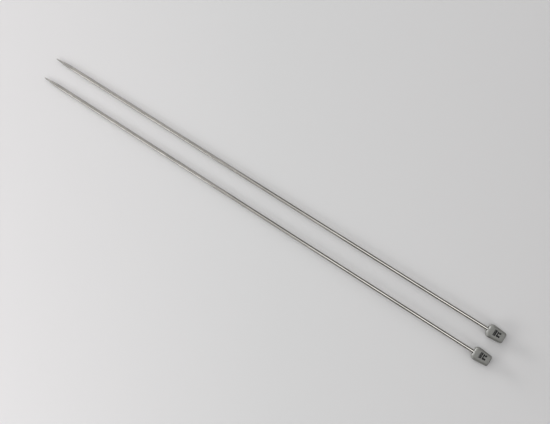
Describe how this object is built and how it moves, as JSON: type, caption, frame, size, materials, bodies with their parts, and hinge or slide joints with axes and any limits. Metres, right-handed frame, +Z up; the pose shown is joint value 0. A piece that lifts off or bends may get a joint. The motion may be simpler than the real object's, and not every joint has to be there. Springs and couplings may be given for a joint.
{
  "type": "knitting needles",
  "caption": "Straight knitting needles: slim polished steel shafts, each tapered to a point and ending in a flat-sided grey plastic head with round shoulders.",
  "frame": {"origin": "on the table, under the middle of the pair's bounding box", "axes": "+X along the needles, from the points to the heads; +Z up from the table; +Y from the left needle to the right one, as seen from behind the heads"},
  "size_m": [0.35, 0.027, 0.0064],
  "materials": {
    "steel": "polished",
    "grey_plastic": "satin"
  },
  "bodies": {
    "right_needle": {"right_needle_shaft": "steel", "right_needle_head": "grey_plastic"},
    "left_needle": {"left_needle_shaft": "steel", "left_needle_head": "grey_plastic"}
  },
  "joints": [
    {"name": "left_needle_lift", "type": "slide", "parent": "right_needle", "child": "left_needle", "axis": [0, 0, 1], "range_m": [0, 0.06]}
  ]
}
